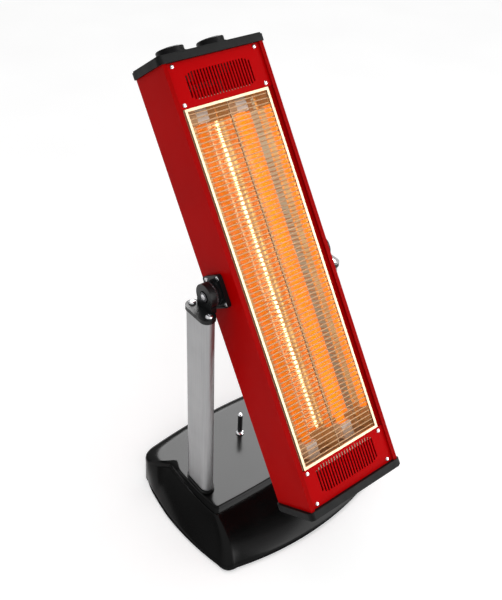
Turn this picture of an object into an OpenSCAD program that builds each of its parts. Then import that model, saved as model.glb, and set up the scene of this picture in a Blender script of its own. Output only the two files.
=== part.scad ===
// Free-standing infrared heater: a two-tube radiant head that leans between two posts on a
// weighted base. Millimetres, +X right, +Y back, +Z up, origin under the middle of the base.

/* [Head casing] */
// Angle that the head leans back from upright, in degrees
lean = 33.3; // [0:0.1:45]
// Width of the casing
casing_w = 161; // [150:1:200]
// Depth of the casing, front to back
casing_d = 77; // [72:1:100]
// Length of the casing between its end caps
casing_l = 611; // [500:1:740]
// Thickness of the casing sheet
wall = 1.5; // [1:0.1:2.5]
// Width of the casing's folded front lips
lip_w = 6; // [4:0.5:8]
// How far the front panels sit behind the lips
recess = 3.5; // [2.5:0.5:5]
// Thickness of the end caps
cap_t = 11.5; // [8:0.5:16]
// Overhang of the end caps at the casing's sides
cap_side = 4.5; // [1:0.5:8]
// Overhang of the end caps at the casing's front and back
cap_front = 2; // [1:0.5:5]

/* [Vent panels and guard] */
// Length of the top vent panel
top_vent_l = 61; // [55:1:80]
// Length of the bottom vent panel
bottom_vent_l = 53; // [50:1:70]
// Thickness of the vent panels
panel_t = 1.2; // [0.8:0.1:2]
// Number of slots in each vent panel
slots = 22; // [8:1:24]
// Distance from slot to slot
slot_pitch = 4.8; // [4:0.1:5]
// Width of one slot
slot_w = 2.4; // [1.5:0.1:3]
// Length of the slots
slot_l = 38; // [16:1:38]
// Width of the guard frame's front rim
rim_w = 3.5; // [2:0.5:5]
// Distance between guard wires
wire_pitch = 6.6; // [5:0.1:10]
// Thickness of a guard wire
wire_d = 1.8; // [1.2:0.1:2.4]

/* [Lamps and reflector] */
// Diameter of a quartz tube
tube_d = 13; // [10:0.5:15]
// Wall of a quartz tube
tube_wall = 1.2; // [0.8:0.1:1.5]
// Diameter of a heating coil
coil_d = 7; // [5:0.5:8]
// Thickness of the reflector sheet
foil = 0.8; // [0.5:0.1:1.2]

/* [Controls] */
// Diameter of a control knob
knob_d = 44; // [30:1:46]
// Height of a control knob
knob_h = 14; // [12:1:24]
// Distance between the two knobs
knob_gap = 66; // [50:1:80]
// Diameter of a control shaft
shaft_d = 6; // [5:0.5:7]

/* [Pivots] */
// Height of the pivot above the floor
pivot_h = 410; // [400:1:520]
// Size of the pivot plates across the casing
plate_w = 42; // [38:1:50]
// Size of the pivot plates along the casing
plate_l = 46; // [42:1:56]
// Thickness of the pivot plates
plate_t = 6; // [6:0.5:9]
// Diameter of the hub
hub_d = 36; // [30:1:38]
// Diameter of the pivot bolts
bolt_d = 8; // [6:0.5:10]
// Radial clearance of a shaft that turns in a bore
turn_gap = 0.08; // [0.05:0.01:0.1]

/* [Posts] */
// Size of the oval posts, front to back
post_a = 51; // [46:1:60]
// Size of the oval posts, side to side
post_b = 20; // [18:1:24]
// Wall of the posts
post_wall = 2; // [1.6:0.1:2.6]
// How far the posts stand behind the middle of the base
post_y = 10.5; // [5:0.5:20]

/* [Base] */
// Width of the base at the floor
base_w = 330; // [304:1:394]
// Depth of the base at the floor
base_d = 262; // [240:1:320]
// Height of the base's flat top
base_h = 58; // [48:1:70]
// Wall of the base shell
shell = 3; // [2.5:0.1:4]
// Where the front edge of the flat top lies
top_front = -47; // [-60:1:-40]
// Height of the step round the flat top
step_h = 9; // [6:0.5:12]
// Height of the rubber feet that show under the base
foot_h = 2.5; // [2:0.5:4]
// Height of the stop peg
peg_h = 44; // [30:1:45]
// Diameter of the stop peg
peg_d = 8; // [7:0.5:10]

/* [Hidden] */
$fn = 48;

clear = 0.3;             // gap between pieces that are laid together
front_y = -casing_d / 2; // front face of the casing's lips
back_y = casing_d / 2 - wall;
side_x = casing_w / 2 - wall;
panel_y = front_y + recess;
ledge_y = panel_y + panel_t;
ledge_x = side_x - 9;    // inner edge of the ledges that carry panels and guard
end_l = casing_l / 2;
top_panel_l = end_l - top_vent_l;      // lower edge of the top vent panel
bottom_panel_l = -end_l + bottom_vent_l;
guard_top = top_panel_l - 0.3;
guard_bottom = bottom_panel_l + 0.3;
guard_x = ledge_x - clear - 1.7;       // outer edge of the guard's rim
mouth_x = guard_x - rim_w;             // half of the open width
flange_y = ledge_y + wall;             // front face of the guard's side flanges
flange_t = 1.2;
wire_y = panel_y + 2.6;
stay_d = 2.2;
reflector_y = flange_y + flange_t;
baffle_t = 1.2;
upper_l = top_panel_l + 0.2;           // lower face of the upper baffle
lower_l = bottom_panel_l - 0.2;        // upper face of the lower baffle
lamp_x = mouth_x / 2;
lamp_y = -5;
holder_l = 22;
port_r = 3.6;                          // screw ports in the casing's corners
port_bore = 1.5;
port_x = side_x - port_r + 0.6;
port_back = back_y - port_r + 0.6;
port_front = flange_y + flange_t + 0.9 + port_r;
cap_screw_r = 1.9;
panel_screw_x = 66;
screw_inset = 5;
slot_drop = 4;           // the slots sit this far off the middle of their panel
knob_y = 12;
pivot_b = 8;             // pivot axis, measured from the middle of the casing
pivot_l = 7;
plate_x = casing_w / 2;
plate_screw_b = plate_w / 2 - 6;
plate_screw_l = plate_l / 2 - 5;
boss_x = plate_x + plate_t + 6.5;
ring_t = 2.5;
yoke_x = boss_x + 0.1 + ring_t;        // inner face of the yoke's disc
disc_t = 9;
nut_r = 7.5;
bolt_head_h = 5.3;
post_x = yoke_x + disc_t + 5.5;
cap_flange_h = 6;
cap_top = pivot_h - 19;                // top of the yoke's flange
post_top = cap_top - cap_flange_h + 3;
port_y = post_a / 2 - 6.2;             // screw ports in the posts
post_port_r = 4.3;
post_port_bore = 2;
plate_z = foot_h + 3;                  // top of the steel base plate
collar_t = 1.8;
collar_h = 5;
peg_y = 55;
half_w = base_w / 2;
half_d = base_d / 2;
top_x = post_x + post_b / 2 + max(shell, collar_t) + 0.8;
notch_y = 66;
back_x = half_w - 13;
step_out = 7;
peg_pos = [0, peg_y];
foot_pos = [for (sx = [-1, 1], p = [[0.76, -0.66], [0.74, 0.66]]) [sx * p.x * half_w, p.y * half_d]];
boss_pos = [for (sx = [-1, 1], p = [[88, -32], [85, 96]]) [sx * p.x, p.y]];

// ---- placing -------------------------------------------------------------------------

// Puts pieces drawn about the middle of the casing (Z along it, Y to its back) in place
module in_head() {
    translate([0, post_y, pivot_h]) rotate([-lean, 0, 0])
        translate([0, -pivot_b, -pivot_l]) children();
}

// Repeats a piece on both sides, mirrored
module both_sides() {
    children();
    mirror([1, 0, 0]) children();
}

// A bar along X, from x0 to x1
module x_rod(r, x0, x1, n = 48) {
    translate([x0, 0, 0]) rotate([0, 90, 0]) cylinder(r = r, h = x1 - x0, $fn = n);
}

// A rectangle with exact round corners
module rounded(w, d, r) {
    square([w - 2 * r, d], center = true);
    square([w, d - 2 * r], center = true);
    for (sx = [-1, 1], sy = [-1, 1]) translate([sx * (w / 2 - r), sy * (d / 2 - r)]) circle(r);
}

// The posts' oval, long way along Y
module oval(a, b) {
    square([b, a - b], center = true);
    for (s = [-1, 1]) translate([0, s * (a - b) / 2]) circle(d = b);
}

// A pan-head screw with a cross recess, head up, its seat at z = 0
module pan_screw(d, head, h, len) {
    difference() {
        union() {
            rotate_extrude() polygon([[0, 0], [head / 2, 0], [head / 2, h * 0.45],
                [head / 2 - h * 0.35, h * 0.85], [head / 4, h], [0, h]]);
            translate([0, 0, -len]) cylinder(d = d, h = len + 0.01);
        }
        for (a = [0, 90]) rotate(a)
            translate([-head * 0.27, -head * 0.06, h * 0.5]) cube([head * 0.54, head * 0.12, h]);
    }
}

// ---- casing --------------------------------------------------------------------------

module casing_section() {
    translate([-casing_w / 2, back_y]) square([casing_w, wall]);
    for (s = [-1, 1]) {
        translate([s * (side_x + wall / 2), 0]) square([wall, casing_d], center = true);
        translate([s > 0 ? casing_w / 2 - lip_w : -casing_w / 2, front_y]) square([lip_w, wall]);
        translate([s > 0 ? ledge_x : -side_x, ledge_y]) square([side_x - ledge_x, wall]);
        for (y = [port_front, port_back]) translate([s * port_x, y]) circle(port_r);
    }
}

module casing() {
    color("#a00508") in_head() difference() {
        linear_extrude(casing_l, center = true) difference() {
            casing_section();
            for (s = [-1, 1], y = [port_front, port_back])
                translate([s * port_x, y]) circle(port_bore);
        }
        // holes for the pivot plates' screws
        for (b = [-1, 1], l = [-1, 1])
            translate([0, pivot_b + b * plate_screw_b, pivot_l + l * plate_screw_l])
                x_rod(2.1, -casing_w, casing_w);
        // cable entry low in the back
        translate([0, back_y - 2, gland_l]) rotate([-90, 0, 0]) cylinder(r = gland_r, h = 8);
    }
}

// ---- end caps ------------------------------------------------------------------------

cap_w = casing_w + 2 * cap_side;
cap_d = casing_d + 2 * cap_front;
block_d = 12;

module cap_body() {
    difference() {
        union() {
            translate([0, 0, end_l]) linear_extrude(cap_t - 2) rounded(cap_w, cap_d, 7);
            translate([0, 0, end_l + cap_t - 2]) linear_extrude(2) rounded(cap_w - 3, cap_d - 3, 6);
            // bar and blocks that locate the cap inside the casing
            translate([-port_x + port_r + 1, back_y - 5.3, end_l - block_d])
                cube([2 * (port_x - port_r - 1), 5, block_d + 1]);
            for (s = [-1, 1]) translate([s * panel_screw_x - 3.4, ledge_y, end_l - block_d])
                cube([6.8, 9, block_d + 1]);
        }
        for (s = [-1, 1], y = [port_front, port_back]) translate([s * port_x, y, end_l - 1]) {
            cylinder(r = cap_screw_r, h = cap_t + 2);
            translate([0, 0, cap_t - 2.2]) cylinder(r = 4, h = 4);
        }
        for (s = [-1, 1]) translate([s * panel_screw_x, ledge_y - 1, end_l - screw_inset])
            rotate([-90, 0, 0]) cylinder(r = 1.2, h = 8);
    }
}

module top_cap() {
    color("#2a2c2c") in_head() difference() {
        cap_body();
        for (s = [-1, 1]) translate([s * knob_gap / 2, knob_y, end_l - 1])
            cylinder(r = bush_r + 0.2, h = cap_t + 2);
    }
}

module bottom_cap() {
    color("#2a2c2c") in_head() mirror([0, 0, 1]) cap_body();
}

module cap_screws() {
    color("silver") in_head() for (m = [0, 1], s = [-1, 1], y = [port_front, port_back])
        mirror([0, 0, m]) translate([s * port_x, y, end_l + cap_t - 3.2 + 0.05])
            pan_screw(3, 6.4, 2.4, 22);
}

// ---- front panels and guard ----------------------------------------------------------

// One vent panel, from l0 to l1, with a field of slots rounded at its corners
module vent_panel(l0, l1) {
    mid = (l0 + l1) / 2 - slot_drop;
    rotate([90, 0, 0]) translate([0, 0, -ledge_y]) linear_extrude(panel_t) difference() {
        translate([-side_x + clear, l0]) square([2 * (side_x - clear), l1 - l0]);
        for (i = [0:slots - 1]) {
            x = (i - (slots - 1) / 2) * slot_pitch;
            from_end = min(i, slots - 1 - i);
            len = slot_l - (from_end == 0 ? 8 : from_end == 1 ? 3 : 0);
            translate([x, mid]) {
                square([slot_w, len - slot_w], center = true);
                for (s = [-1, 1]) translate([0, s * (len - slot_w) / 2]) circle(d = slot_w);
            }
        }
        for (s = [-1, 1], l = [l0 + screw_inset, l1 - screw_inset + clear])
            translate([s * panel_screw_x, l]) circle(1.7);
    }
}

module top_vent_panel() {
    color("#be0208") in_head() vent_panel(top_panel_l, end_l - clear);
}

module bottom_vent_panel() {
    color("#b01018") in_head() mirror([0, 0, 1]) vent_panel(-bottom_panel_l, end_l - clear);
}

module panel_screws() {
    color("silver") in_head() for (m = [[0, top_panel_l], [1, -bottom_panel_l]], s = [-1, 1],
            l = [m[1] + screw_inset, end_l - screw_inset])
        mirror([0, 0, m[0]]) translate([s * panel_screw_x, panel_y - 0.05, l]) rotate([90, 0, 0])
            pan_screw(2.4, 5.6, 2, 6);
}

module guard_frame() {
    h = guard_top - guard_bottom;
    color("#e3cdb0") in_head() {
        difference() {
            translate([-guard_x, panel_y, guard_bottom]) cube([2 * guard_x, reflector_y - panel_y, h]);
            translate([-mouth_x, panel_y - 1, guard_bottom + rim_w])
                cube([2 * mouth_x, 10, h - 2 * rim_w]);
            for (i = [0:wires - 1]) translate([0, wire_y, wire_start + i * wire_pitch])
                x_rod(wire_d / 2 + 0.02, -mouth_x - 1.6, mouth_x + 1.6, 24);
        }
        for (s = [-1, 1]) translate([s > 0 ? guard_x - 0.01 : -side_x + 1, flange_y, guard_bottom])
            cube([side_x - 1 - guard_x + 0.01, flange_t, h]);
    }
}

open_l = guard_top - guard_bottom - 2 * rim_w;
wires = floor((open_l - wire_pitch) / wire_pitch) + 1;
wire_start = (guard_top + guard_bottom) / 2 - (wires - 1) * wire_pitch / 2;

module guard_wires() {
    color("#d8c2a0") in_head() for (i = [0:wires - 1])
        translate([0, wire_y, wire_start + i * wire_pitch])
            x_rod(wire_d / 2, -mouth_x - 1.5, mouth_x + 1.5, 24);
}

// Upright stay behind the wires, standing clear of the reflector's ridge
module guard_stay() {
    color("#d8c2a0") in_head() translate([0, wire_y + wire_d / 2 + stay_d / 2 + 0.02,
            guard_bottom + rim_w])
        cylinder(d = stay_d, h = open_l, $fn = 24);
}

// ---- reflector and lamps -------------------------------------------------------------

// Right half of the reflector's front surface, from the middle ridge to the side flange
function half_trough() = [
    [0.8, reflector_y + 2.4],
    [mouth_x * 0.09, lamp_y],
    [mouth_x * 0.25, lamp_y + 12],
    [mouth_x * 0.51, lamp_y + 17],
    [mouth_x * 0.74, lamp_y + 13.5],
    [mouth_x * 0.94, lamp_y + 1],
    [mouth_x + 1, reflector_y],
    [side_x - 2.5, reflector_y]];
function left_of(p) = [for (i = [len(p) - 1:-1:0]) [-p[i].x, p[i].y]];
function unit(v) = v / norm(v);
function behind(a, b) = let (d = unit(b - a)) [-d.y, d.x];
// A polyline moved by t to its back, mitred at its corners
function shifted(p, t) = [for (i = [0:len(p) - 1])
    let (n0 = behind(p[max(i - 1, 0)], p[max(i, 1)]),
         n1 = behind(p[min(i, len(p) - 2)], p[min(i + 1, len(p) - 1)]),
         m = unit(n0 + n1))
    p[i] + m * t / (m * n1)];
function reversed(p) = [for (i = [len(p) - 1:-1:0]) p[i]];

module reflector() {
    line = concat(left_of(half_trough()), half_trough());
    color("#e08a2c") in_head() translate([0, 0, guard_bottom + 0.2])
        linear_extrude(guard_top - guard_bottom - 0.4)
            polygon(concat(line, reversed(shifted(line, foil))));
}

shield_y = lamp_y + 17 + foil + 5;

module heat_shield() {
    color("#b8b8b4") in_head() translate([0, 0, guard_bottom + 0.2])
        linear_extrude(guard_top - guard_bottom - 0.4) {
            translate([-side_x + clear, shield_y]) square([2 * (side_x - clear), 0.8]);
            for (s = [-1, 1]) translate([s > 0 ? side_x - clear - 0.8 : -side_x + clear, shield_y - 9])
                square([0.8, 9.4]);
        }
}

tube_end = 8;            // how far a tube goes into its holder

module quartz_tubes() {
    color("#ffcf9a") in_head() for (s = [-1, 1])
        translate([s * lamp_x, lamp_y, lower_l + holder_l - tube_end]) difference() {
            cylinder(d = tube_d, h = upper_l - lower_l - 2 * (holder_l - tube_end));
            translate([0, 0, -1]) cylinder(d = tube_d - 2 * tube_wall, h = 1000);
        }
}

module heating_coils() {
    coil_end = 6;
    color("#ff7a1a") in_head() for (s = [-1, 1]) translate([s * lamp_x, lamp_y, 0]) {
        translate([0, 0, lower_l + holder_l + coil_end])
            cylinder(d = coil_d, h = upper_l - lower_l - 2 * (holder_l + coil_end));
        translate([0, 0, lower_l + 6]) cylinder(r = 1.2, h = upper_l - lower_l - 12);
    }
}

module lamp_holders() {
    color("#efe9dc") in_head() for (s = [-1, 1], m = [0, 1]) {
        z = m == 0 ? lower_l : upper_l - holder_l;
        translate([s * lamp_x, lamp_y, z]) difference() {
            translate([-9, -9, 0]) cube([18, 18, holder_l]);
            translate([0, 0, m == 0 ? holder_l - tube_end - 0.2 : -1])
                cylinder(d = tube_d + 0.3, h = tube_end + 1.2);
            translate([0, 0, m == 0 ? 5.8 : 2]) cylinder(r = 1.3, h = holder_l - 7.8);
        }
    }
}

loom_r = 4;
loom_x = 37;
loom_y = back_y - loom_r - 2;
tail_r = 2.5;

// A sheet across the casing with a flange that carries one edge of a vent panel
module baffle(l0, dir) {
    x = side_x - clear;
    difference() {
        union() {
            translate([-x, flange_y + flange_t + 0.4, l0]) mirror([0, 0, dir])
                cube([2 * x, back_y - clear - flange_y - flange_t - 0.4, baffle_t]);
            translate([-ledge_x + 1, ledge_y, l0]) mirror([0, 0, dir])
                cube([2 * (ledge_x - 1), flange_y - ledge_y + flange_t + 0.6, baffle_t]);
            translate([-ledge_x + 1, ledge_y, l0]) mirror([0, 0, dir])
                cube([2 * (ledge_x - 1), 1.2, 9]);
        }
        for (s = [-1, 1], y = [port_front, port_back])
            translate([s * port_x, y, l0 - 10]) cylinder(r = port_r + clear, h = 20);
        for (s = [-1, 1]) translate([s * port_x + (s > 0 ? 0 : -10), port_back, l0 - 10])
            cube([10, 20, 20]);
        translate([loom_x, loom_y, l0 - 10]) cylinder(r = loom_r + 0.4, h = 20);
        for (s = [-1, 1])
            translate([s * panel_screw_x, ledge_y - 1, l0 + (dir == 0 ? 1 : -1) * (screw_inset - 0.2)])
                rotate([-90, 0, 0]) cylinder(r = 1.2, h = 4);
    }
}

module upper_baffle() {
    color("#c9c9c4") in_head() baffle(upper_l, 0);
}

module lower_baffle() {
    color("#c9c9c4") in_head() baffle(lower_l, 1);
}

// ---- electrical parts ----------------------------------------------------------------

gland_l = -end_l + 28;
gland_r = 8;
block_h = 14;
block_top = lower_l - baffle_t - 16;

module terminal_block() {
    color("#e8e4d8") in_head() difference() {
        translate([loom_x - 23, back_y - block_h, block_top - 18]) cube([46, block_h, 18]);
        for (i = [-2:2]) translate([loom_x + i * 9.2, back_y - block_h - 1, block_top - 9])
            rotate([-90, 0, 0]) cylinder(r = 2.2, h = 6);
    }
}

// Wires from the terminal block up behind the heat shield to the switches
module wiring_loom() {
    high = end_l - switch_h - 2 - loom_r;
    reach = loom_y - knob_y - 6;
    color("#4a3a30") in_head() translate([0, loom_y, 0]) {
        translate([loom_x, 0, block_top]) cylinder(r = loom_r, h = high - block_top);
        translate([loom_x, 0, high]) sphere(loom_r);
        translate([0, 0, high]) x_rod(loom_r, -knob_gap / 2 - 1, loom_x);
        for (s = [-1, 1]) translate([s * knob_gap / 2, 0, high]) {
            rotate([90, 0, 0]) cylinder(r = tail_r, h = reach);
            translate([0, -reach, 0]) sphere(tail_r);
            translate([0, -reach, 0]) cylinder(r = tail_r, h = end_l - switch_h - high);
        }
    }
}

module cable_gland() {
    color("#202020") in_head() translate([0, 0, gland_l]) {
        difference() {
            union() {
                translate([0, back_y - 9, 0]) rotate([-90, 0, 0]) cylinder(r = gland_r - 0.1, h = 12);
                translate([0, casing_d / 2, 0]) rotate([-90, 0, 0]) cylinder(r = 11, h = 4);
                translate([0, casing_d / 2 + 4, 0]) rotate([-90, 0, 0]) cylinder(r = 9, h = 7);
            }
            translate([0, back_y - 10, 0]) rotate([-90, 0, 0]) cylinder(r = 4, h = 40);
        }
    }
}

module gland_nut() {
    color("#202020") in_head() translate([0, back_y - 5, gland_l]) rotate([-90, 0, 0]) difference() {
        cylinder(r = 12, h = 5, $fn = 6);
        translate([0, 0, -1]) cylinder(r = gland_r, h = 8);
    }
}

// Sealed cut-out that opens the circuit when the head lies over
module tilt_cutout() {
    color("#303438") in_head() translate([-62, back_y - 18, upper_l + baffle_t]) cube([22, 16, 24]);
}

switch_h = 24;
bush_r = 4.6;
bush_top = 5;            // how far the threaded bushes stand above the cap

// A switch body under the top cap with a bush through it; s is its side
module control(s, round) {
    translate([s * knob_gap / 2, knob_y, end_l]) difference() {
        union() {
            translate([0, 0, -switch_h]) if (round) cylinder(r = 15, h = switch_h);
                else translate([-15, -15, 0]) cube([30, 30, switch_h]);
            translate([0, 0, -1]) cylinder(r = bush_r, h = 1 + cap_t + bush_top);
        }
        translate([0, 0, -14]) cylinder(d = shaft_d + 2 * turn_gap, h = 14 + cap_t + bush_top + 1);
    }
}

module power_switch() {
    color("#d8d4c8") in_head() control(-1, false);
}

module thermostat() {
    color("#c8c4b8") in_head() control(1, true);
}

module switch_nuts() {
    color("silver") in_head() for (s = [-1, 1])
        translate([s * knob_gap / 2, knob_y, end_l + cap_t]) difference() {
            cylinder(r = 7.5, h = 3, $fn = 6);
            translate([0, 0, -1]) cylinder(r = bush_r, h = 5);
        }
}

module control_shaft(s) {
    translate([s * knob_gap / 2, knob_y, end_l - 13.8])
        cylinder(d = shaft_d, h = 13.8 + cap_t + knob_h - 4);
}

module power_shaft() {
    color("#d0d0d0") in_head() control_shaft(-1);
}

module thermostat_shaft() {
    color("#d0d0d0") in_head() control_shaft(1);
}

// A flat skirted knob with an index groove, hollow below to clear the nut
module knob(s) {
    skirt = 6;
    grip = knob_d / 2 - 2.2;
    translate([s * knob_gap / 2, knob_y, end_l + cap_t + clear]) difference() {
        union() {
            cylinder(d = knob_d, h = skirt);
            rotate_extrude() polygon([[0, skirt - 1], [grip, skirt - 1], [grip, knob_h - 1.2],
                [grip - 1.2, knob_h], [0, knob_h]]);
        }
        translate([0, 0, -1]) cylinder(r = 9.5, h = bush_top + 2);
        translate([0, 0, -1]) cylinder(d = shaft_d, h = knob_h - 3 - clear);
        translate([-0.8, -knob_d / 2, knob_h - 0.6]) cube([1.6, knob_d / 2 - 5, 1]);
    }
}

module power_knob() {
    color("#1b1b1b") in_head() knob(-1);
}

module thermostat_knob() {
    color("#1b1b1b") in_head() knob(1);
}

// ---- pivots --------------------------------------------------------------------------

// One pivot plate on the right, with its boss, bolt pocket and screw holes
module pivot_plate() {
    translate([0, pivot_b, pivot_l]) difference() {
        union() {
            translate([plate_x, 0, 0]) rotate([90, 0, 90]) linear_extrude(plate_t - 1.5)
                rounded(plate_w, plate_l, 5);
            // raised rim round the plate
            translate([plate_x + plate_t - 1.51, 0, 0]) rotate([90, 0, 90]) linear_extrude(1.51)
                difference() {
                    rounded(plate_w, plate_l, 5);
                    rounded(plate_w - 4, plate_l - 4, 3);
                }
            x_rod(hub_d / 2, plate_x + 1, boss_x - 2.5);
            x_rod(hub_d / 2 - 2, plate_x + 1, boss_x);
        }
        x_rod(bolt_d / 2 + turn_gap, plate_x - 1, boss_x + 1);
        x_rod(nut_r + 0.15, plate_x - 1, plate_x + bolt_head_h + 0.2, 6);
        for (b = [-1, 1], l = [-1, 1]) translate([0, b * plate_screw_b, l * plate_screw_l]) {
            x_rod(2.1, plate_x - 1, boss_x);
            x_rod(4.4, plate_x + plate_t - 3, boss_x + 2);
        }
    }
}

module pivot_plate_left() {
    color("#1c1e1e") in_head() mirror([1, 0, 0]) pivot_plate();
}

module pivot_plate_right() {
    color("#1c1e1e") in_head() pivot_plate();
}

module plate_screws() {
    color("silver") in_head() both_sides() for (b = [-1, 1], l = [-1, 1])
        translate([plate_x + plate_t - 2.95, pivot_b + b * plate_screw_b, pivot_l + l * plate_screw_l])
            rotate([0, 90, 0]) pan_screw(4, 8, 2.8, 10);
}

bolt_end = yoke_x + disc_t + 1.5;

// Bolts whose hexagon heads are held in the plates; they turn in the yokes
module pivot_bolts() {
    color("#8a8c8e") in_head() both_sides() translate([0, pivot_b, pivot_l]) {
        x_rod(nut_r, plate_x + 0.1, plate_x + bolt_head_h, 6);
        x_rod(bolt_d / 2, plate_x + bolt_head_h - 0.1, bolt_end);
    }
}

nut_x = yoke_x + disc_t - 4.4;

module pivot_nuts() {
    color("#3a3c3e") in_head() both_sides() translate([0, pivot_b, pivot_l]) difference() {
        x_rod(nut_r, nut_x, bolt_end - 0.5, 6);
        x_rod(bolt_d / 2, nut_x - 1, bolt_end + 1);
    }
}

// Toothed rings between the plates' bosses and the yokes
module ratchet_rings() {
    teeth = 28;
    r = hub_d / 2 - 0.5;
    color("#55585a") in_head() both_sides() translate([boss_x + 0.05, pivot_b, pivot_l])
        rotate([90, 0, 90]) linear_extrude(ring_t) difference() {
            polygon([for (i = [0:2 * teeth - 1])
                (r - (i % 2 == 0 ? 0 : 1.4)) * [cos(i * 180 / teeth), sin(i * 180 / teeth)]]);
            circle(bolt_d / 2 + 0.3);
        }
}

// One yoke on the right: a disc round the bolt on a flange that caps the post
module yoke() {
    translate([0, post_y, pivot_h]) {
        difference() {
            union() {
                x_rod(hub_d / 2, yoke_x, yoke_x + disc_t);
                translate([yoke_x, -hub_d / 2 + 2, cap_top - pivot_h - 1])
                    cube([disc_t, hub_d - 4, 10]);
                // flange and its skirt round the head of the post
                translate([post_x, 0, cap_top - pivot_h - cap_flange_h])
                    linear_extrude(cap_flange_h) oval(post_a + 3.4, post_b + 3.4);
            }
            translate([post_x, 0, cap_top - pivot_h - cap_flange_h - 1])
                linear_extrude(4) oval(post_a + 0.4, post_b + 0.4);
            x_rod(bolt_d / 2 + turn_gap, yoke_x - 1, yoke_x + disc_t + 1);
            x_rod(nut_r + 1, yoke_x + disc_t - 4.5, yoke_x + disc_t + 1);
            for (s = [-1, 1]) translate([post_x, s * port_y, cap_top - pivot_h - 20])
                cylinder(r = 2.3, h = 30);
        }
    }
}

module yoke_left() {
    color("#1c1e1e") mirror([1, 0, 0]) yoke();
}

module yoke_right() {
    color("#1c1e1e") yoke();
}

module yoke_screws() {
    color("silver") both_sides() for (s = [-1, 1])
        translate([post_x, post_y + s * port_y, cap_top + 0.05]) pan_screw(4, 10.4, 3.4, 24);
}

// ---- posts ---------------------------------------------------------------------------

module post() {
    translate([post_x, post_y, plate_z]) linear_extrude(post_top - plate_z) difference() {
        oval(post_a, post_b);
        difference() {
            oval(post_a - 2 * post_wall, post_b - 2 * post_wall);
            for (s = [-1, 1]) translate([0, s * port_y]) circle(post_port_r);
        }
        for (s = [-1, 1]) translate([0, s * port_y]) circle(post_port_bore);
    }
}

module post_left() {
    color("#b4b4b4") mirror([1, 0, 0]) post();
}

module post_right() {
    color("#b4b4b4") post();
}

module post_collars() {
    color("#151515") both_sides() translate([post_x, post_y, base_h]) linear_extrude(collar_h)
        difference() {
            oval(post_a + 2 * collar_t, post_b + 2 * collar_t);
            oval(post_a + 0.2, post_b + 0.2);
        }
}

// ---- base ----------------------------------------------------------------------------

// A stretch of n points from a to b (b left out) that bulges by out to its left
function stretch(a, b, out, n) = let (d = unit(b - a)) [for (i = [0:n - 1])
    let (t = i / n) a + (b - a) * t + [-d.y, d.x] * out * 4 * t * (1 - t)];

// Left half of an outline from front to back, mirrored to close it
function closed(h) = concat(h, [for (i = [len(h) - 1:-1:0]) [-h[i].x, h[i].y]]);

// A quarter turn of n steps from a to b round the corner c, as a smooth curve
function turn(a, c, b, n) = [for (i = [0:n - 1]) let (t = i / n)
    (1 - t) * (1 - t) * a + 2 * t * (1 - t) * c + t * t * b];

// Outline of the base at one level: front edge y, half width of the front corner and side,
// notch and back corner, with corner size r. The front falls back by sweep to its corners, and
// the side bows out by bow.
function base_outline(front, corner, side, nx, ny, bx, back, r, sweep, bow, inset) =
    let (f = front + inset, c = corner - inset, s = side - inset, n = nx - inset,
         b = bx - inset, k = back - inset, e = f + sweep)
    concat(
        stretch([-1, f], [-c + r, e], sweep / 4, 6),
        turn([-c + r, e], [-c, e], [-c - 0.5, e + r], 5),
        stretch([-c - 0.5, e + r], [-s, post_y + 10], bow, 6),
        stretch([-s, post_y + 10], [-n, ny], 0.5, 4),
        stretch([-n, ny], [-b, k - 32], 1, 4),
        turn([-b, k - 32], [-b, k - 12], [-b + 26, k - 9], 6),
        stretch([-b + 26, k - 9], [-1, k], 2, 6));

function base_level(i, inset) =
    // floor, rim, half way, shoulder, flat top
    i == 0 ? base_outline(-half_d, half_w - 13, half_w, half_w - 5, notch_y, half_w - 13,
        half_d, 20, 18, 3.7, inset) :
    i == 1 ? base_outline(-half_d + 4, half_w - 14, half_w - 2, half_w - 7, notch_y, half_w - 13,
        half_d, 19, 17, 3.7, inset) :
    i == 2 ? base_outline((top_front - step_out - half_d) / 2 - 3, half_w - 29,
        (half_w + top_x) / 2 + 5, (half_w + top_x) / 2 + 3, notch_y, half_w - 13,
        half_d - 1, 13, 9, 3, inset) :
    i == 3 ? base_outline(top_front - step_out, top_x + 2, top_x + step_out - 1, top_x + 4,
        notch_y + 3, back_x, half_d - 2, 6, 3, 1.5, inset) :
    base_outline(top_front, top_x - 5, top_x, top_x, notch_y, back_x - 3, half_d - 5, 5,
        3, 1.5, inset);

function level_z(i, drop) = [foot_h, foot_h + 5, (foot_h + base_h - step_h) / 2 + 2,
    base_h - step_h, base_h][i] - (i > 0 ? drop : 0);

// A closed body through the base's levels; inset and drop make the hollow inside it.
// Each end is a fan round a point behind the middle, which sees the whole outline.
module base_solid(inset, drop, sink) {
    rings = [for (i = [0:4]) closed(base_level(i, inset))];
    n = len(rings[0]);
    z = [for (i = [0:4]) level_z(i, drop) - (i == 0 ? sink : 0)];
    pts = concat([for (i = [0:4], p = rings[i]) [p.x, p.y, z[i]]],
        [[0, peg_y - 35, z[0]], [0, peg_y - 35, z[4]]]);
    polyhedron(pts, concat(
        [for (j = [0:n - 1]) [5 * n, (j + 1) % n, j]],
        [for (i = [0:3], j = [0:n - 1], t = [0, 1]) let (k = (j + 1) % n)
            t == 0 ? [i * n + j, (i + 1) * n + k, (i + 1) * n + j]
                : [i * n + j, i * n + k, (i + 1) * n + k]],
        [for (j = [0:n - 1]) [5 * n + 1, 4 * n + j, 4 * n + (j + 1) % n]]));
}

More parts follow.
